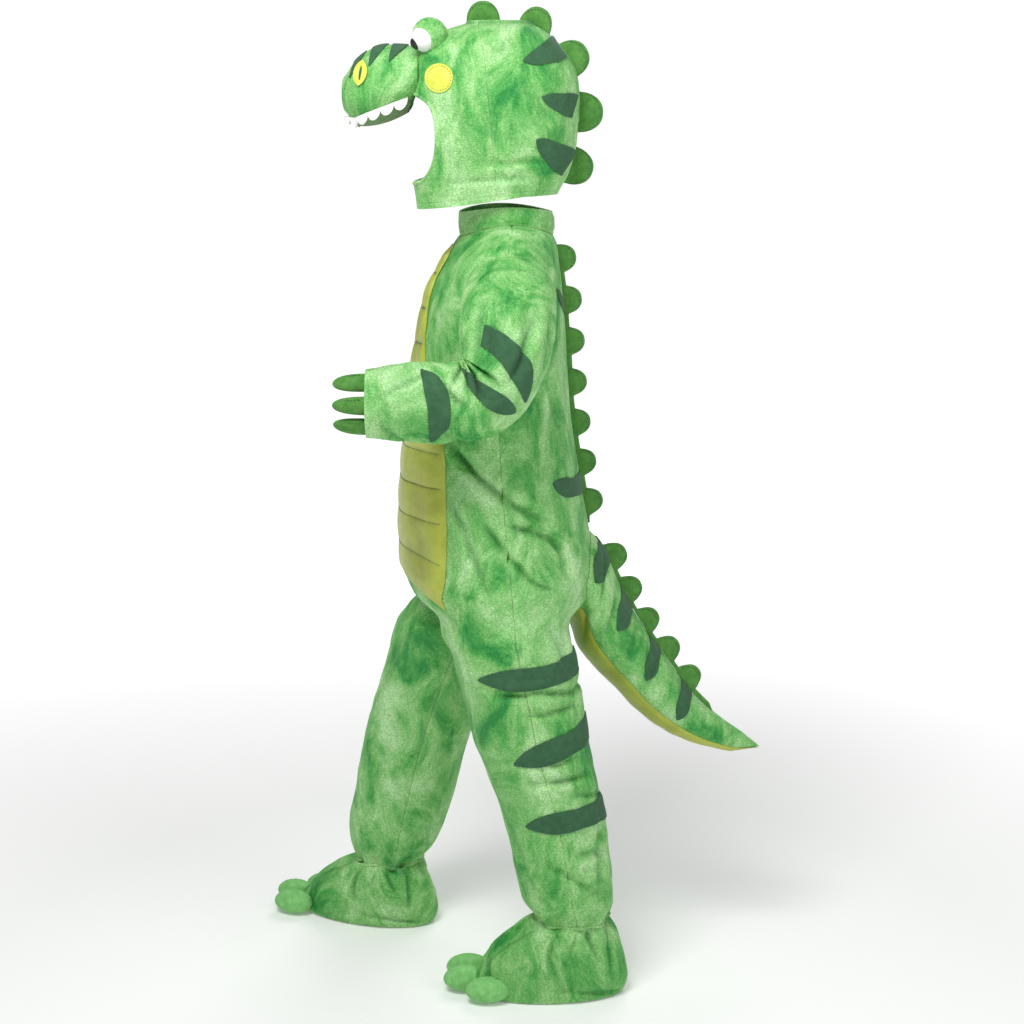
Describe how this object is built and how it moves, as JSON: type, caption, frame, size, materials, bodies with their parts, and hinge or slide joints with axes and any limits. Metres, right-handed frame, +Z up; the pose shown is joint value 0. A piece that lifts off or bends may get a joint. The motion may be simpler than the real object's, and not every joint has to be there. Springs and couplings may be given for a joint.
{
  "type": "t-rex costume",
  "caption": "Child's green dinosaur costume: hooded plush jumpsuit in its worn form, with stuffed snout and tail, back spikes, clawed cuffs and foot covers.",
  "frame": {"origin": "middle of the neck seam, where the wearer's neck holds the jumpsuit", "axes": "+Z up along the wearer, -Y the way the wearer faces, +X the wearer's left"},
  "size_m": [0.4626, 0.6124, 1.1775],
  "materials": {
    "plush": "short-pile printed plush, mottled green",
    "satin": "yellow-green satin-faced fabric",
    "felt": "foam-backed olive felt",
    "stripe": "dark green smooth applique fabric",
    "toe": "light green smooth plush",
    "cheek": "yellow short-pile fabric",
    "olive": "olive brushed fabric",
    "white": "white felt",
    "black": "black gloss fabric",
    "elastic": "black woven elastic"
  },
  "bodies": {
    "root": {"front_left": "plush", "back_left": "plush", "sleeve_left": "plush", "foot_left": "plush", "face_left": "plush", "hood_left": "plush", "claws_left": "felt", "strap_left": "elastic", "tail_left": "plush", "lid_left": "plush", "ball_left": "white", "pupil_left": "black", "cheek_left": "cheek", "nostril_left": "cheek", "toe_left_1": "toe", "leg_stripe_left_1": "stripe", "sleeve_stripe_left_1": "stripe", "toe_left_2": "toe", "leg_stripe_left_2": "stripe", "sleeve_stripe_left_2": "stripe", "toe_left_3": "toe", "leg_stripe_left_3": "stripe", "sleeve_stripe_left_3": "stripe", "front_right": "plush", "back_right": "plush", "sleeve_right": "plush", "foot_right": "plush", "face_right": "plush", "hood_right": "plush", "claws_right": "felt", "strap_right": "elastic", "tail_right": "plush", "lid_right": "plush", "ball_right": "white", "pupil_right": "black", "cheek_right": "cheek", "nostril_right": "cheek", "toe_right_1": "toe", "leg_stripe_right_1": "stripe", "sleeve_stripe_right_1": "stripe", "toe_right_2": "toe", "leg_stripe_right_2": "stripe", "sleeve_stripe_right_2": "stripe", "toe_right_3": "toe", "leg_stripe_right_3": "stripe", "sleeve_stripe_right_3": "stripe", "collar": "plush", "collar_tab": "white", "belly": "satin", "tail_underside": "satin", "spine_back": "felt", "spine_tail": "felt", "hood_spike_1": "felt", "hood_spike_2": "felt", "hood_spike_3": "felt", "hood_spike_4": "felt", "hood_spike_5": "felt", "snout": "plush", "mouth": "olive", "teeth": "white"}
  },
  "joints": []
}
